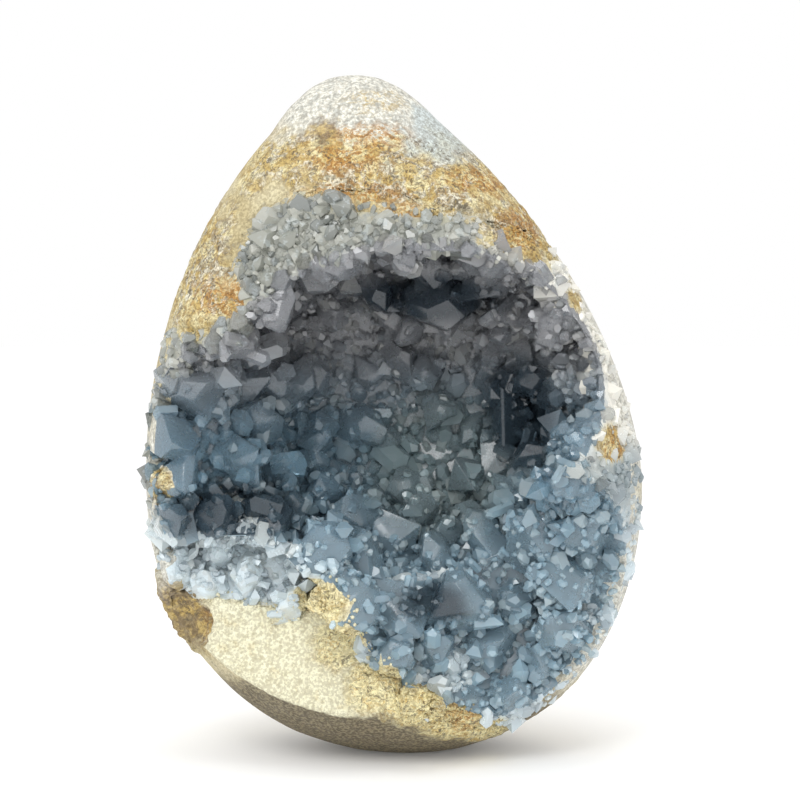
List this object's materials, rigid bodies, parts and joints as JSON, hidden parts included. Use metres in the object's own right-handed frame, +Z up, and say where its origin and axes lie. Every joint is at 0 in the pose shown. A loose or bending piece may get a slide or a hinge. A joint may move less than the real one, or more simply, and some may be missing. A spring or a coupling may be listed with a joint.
{
  "type": "celestite geode",
  "caption": "Egg-shaped geode, ground smooth outside, flat underneath and broken open at the front, where a deep hollow is lined with pale blue crystals.",
  "frame": {"origin": "on the flat base, under the middle of the geode's box", "axes": "+Z up towards the narrow end; the open front faces -Y; +X is to the right as seen from the front"},
  "size_m": [0.1386, 0.0978, 0.19],
  "materials": {
    "rock": "matte",
    "celestite": "gloss"
  },
  "bodies": {
    "root": {"rock_matrix": "rock", "crystal_crust": "celestite"}
  },
  "joints": []
}
